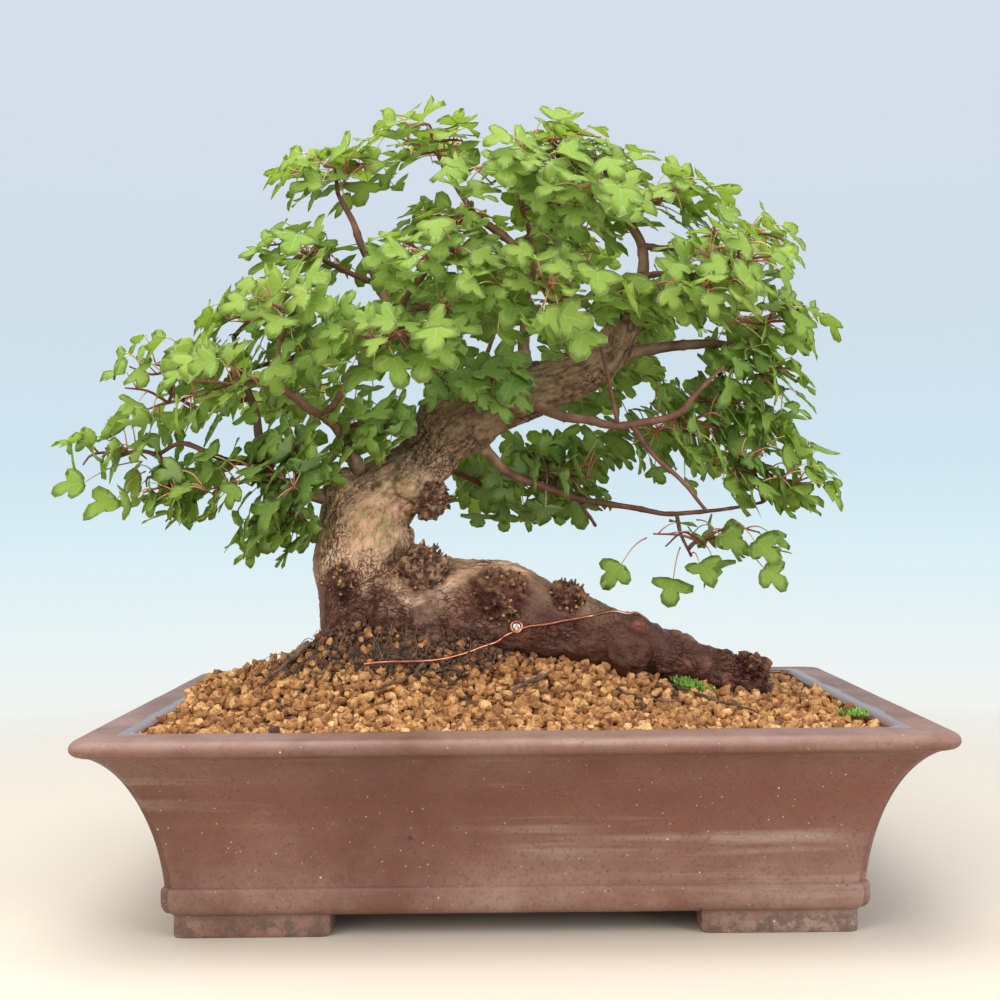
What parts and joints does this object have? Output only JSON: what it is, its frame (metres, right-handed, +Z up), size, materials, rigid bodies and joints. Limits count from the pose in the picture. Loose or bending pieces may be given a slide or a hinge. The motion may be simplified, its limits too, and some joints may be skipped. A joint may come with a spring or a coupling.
{
  "type": "bonsai tree in a pot",
  "caption": "Leaning maple bonsai with a hooked trunk and a long exposed root, in a wide rectangular stoneware pot with a flared lip and corner feet.",
  "frame": {"origin": "middle of the bounding box at its bottom, level with the undersides of the pot's feet; the pot's own middle lies 24.3 mm towards +X because the foliage overhangs on the other side", "axes": "+X along the pot's long side, towards the viewer's right; +Y towards the back; +Z up"},
  "size_m": [0.4986, 0.337, 0.4692],
  "materials": {
    "clay": "satin",
    "granules": "matte",
    "bark": "matte",
    "twig_bark": "matte",
    "foliage": "satin",
    "copper": "satin",
    "steel": "satin",
    "screen_plastic": "matte",
    "moss": "matte"
  },
  "bodies": {
    "root": {"branch_back_left": "twig_bark", "branch_back_right": "twig_bark", "branch_behind_crook": "twig_bark", "branch_left": "twig_bark", "branch_left_back": "twig_bark", "branch_right": "twig_bark", "branch_right_front": "twig_bark", "branch_right_low": "twig_bark", "branch_shoulder": "twig_bark", "branch_upper_centre": "twig_bark", "branch_upper_left": "twig_bark", "branch_upper_right": "twig_bark", "copper_wire": "copper", "drain_screen_left": "screen_plastic", "drain_screen_right": "screen_plastic", "leaf_spray_01": "foliage", "leaf_spray_02": "foliage", "leaf_spray_03": "foliage", "leaf_spray_04": "foliage", "leaf_spray_05": "foliage", "leaf_spray_06": "foliage", "leaf_spray_07": "foliage", "leaf_spray_08": "foliage", "leaf_spray_09": "foliage", "leaf_spray_10": "foliage", "leaf_spray_11": "foliage", "leaf_spray_12": "foliage", "leaf_spray_13": "foliage", "leaf_spray_14": "foliage", "leaf_spray_15": "foliage", "leaf_spray_16": "foliage", "leaf_spray_17": "foliage", "leaf_spray_18": "foliage", "leaf_spray_19": "foliage", "leaf_spray_20": "foliage", "leaf_spray_21": "foliage", "leaf_spray_22": "foliage", "leaf_spray_23": "foliage", "leaf_spray_24": "foliage", "leaf_spray_25": "foliage", "leaf_spray_26": "foliage", "leaf_spray_27": "foliage", "leaf_spray_28": "foliage", "leaf_spray_29": "foliage", "leaf_spray_30": "foliage", "leaf_spray_31": "foliage", "leaf_spray_32": "foliage", "leaf_spray_33": "foliage", "leaf_spray_34": "foliage", "leaf_spray_35": "foliage", "leaf_spray_36": "foliage", "leaf_spray_37": "foliage", "leaf_spray_38": "foliage", "moss_by_root": "moss", "moss_by_wall": "moss", "pot": "clay", "soil": "granules", "trunk": "bark", "wire_screw": "steel"}
  },
  "joints": []
}
